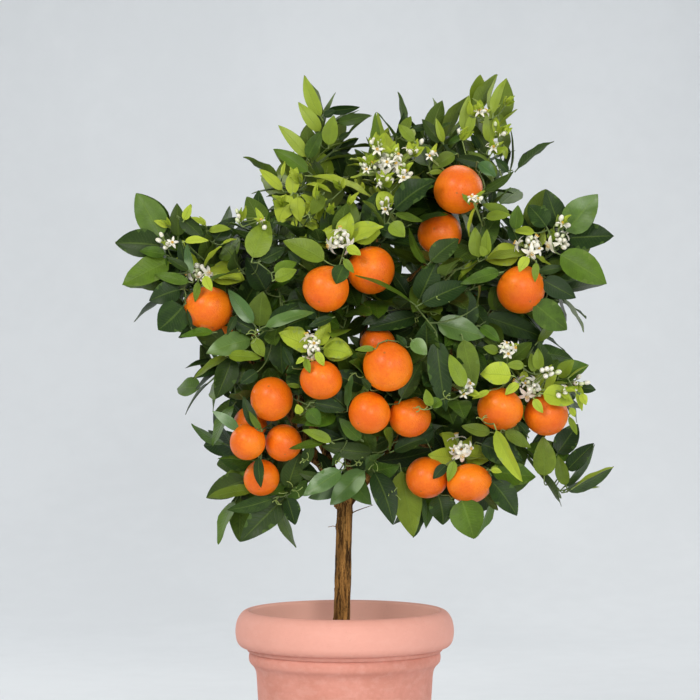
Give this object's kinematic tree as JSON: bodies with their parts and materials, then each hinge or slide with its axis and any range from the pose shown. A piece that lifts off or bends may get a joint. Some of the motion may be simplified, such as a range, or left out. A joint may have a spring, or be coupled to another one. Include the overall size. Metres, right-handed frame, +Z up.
{
  "type": "potted orange tree",
  "caption": "Small standard orange tree with ripe fruit and white blossom, in a round terracotta pot with a rolled rim, standing on its flat base.",
  "frame": {"origin": "centre of the pot's flat underside, on the surface that it stands on", "axes": "+Z up, along the pot's axis and the trunk; -Y is the side that the picture shows; +X is that view's right"},
  "size_m": [0.6831, 0.515, 1.0218],
  "materials": {
    "terracotta": "matt unglazed pinkish clay",
    "soil": "dark crumbly potting soil",
    "bark": "brown bark with paler streaks",
    "orange_peel": "dimpled waxy orange peel",
    "leaf": "glossy dark green leaves on green twigs",
    "young_leaf": "pale yellow-green young leaves",
    "petal": "waxy cream-white petals"
  },
  "bodies": {
    "root": {"pot": "terracotta", "soil": "soil", "trunk": "bark", "fruit_01": "orange_peel", "fruit_02": "orange_peel", "fruit_03": "orange_peel", "fruit_04": "orange_peel", "fruit_05": "orange_peel", "fruit_06": "orange_peel", "fruit_07": "orange_peel", "fruit_08": "orange_peel", "fruit_09": "orange_peel", "fruit_10": "orange_peel", "fruit_11": "orange_peel", "fruit_12": "orange_peel", "fruit_13": "orange_peel", "fruit_14": "orange_peel", "fruit_15": "orange_peel", "fruit_16": "orange_peel", "fruit_17": "orange_peel", "fruit_18": "orange_peel", "fruit_19": "orange_peel", "fruit_20": "orange_peel", "fruit_21": "orange_peel", "fruit_22": "orange_peel", "fruit_23": "orange_peel", "spray_left": "leaf", "spray_left_mid": "leaf", "spray_low_left": "leaf", "spray_upper_left": "leaf", "spray_top_left": "leaf", "spray_top_centre": "leaf", "spray_top_right": "leaf", "spray_upper_right": "leaf", "spray_right": "leaf", "spray_right_low": "leaf", "spray_low_right": "leaf", "spray_centre": "leaf", "spray_centre_upper": "leaf", "spray_low_centre": "leaf", "spray_back_left": "leaf", "spray_back_low_left": "leaf", "spray_back_right": "leaf", "spray_back_low_right": "leaf", "spray_back_top": "leaf", "young_left": "young_leaf", "young_upper": "young_leaf", "young_centre": "young_leaf", "young_top": "young_leaf", "young_right": "young_leaf", "young_right_low": "young_leaf", "young_low": "young_leaf", "blossom_left": "petal", "blossom_upper": "petal", "blossom_centre": "petal", "blossom_top": "petal", "blossom_right": "petal", "blossom_right_low": "petal", "blossom_low": "petal", "blossom_right_outer": "petal"}
  },
  "joints": []
}
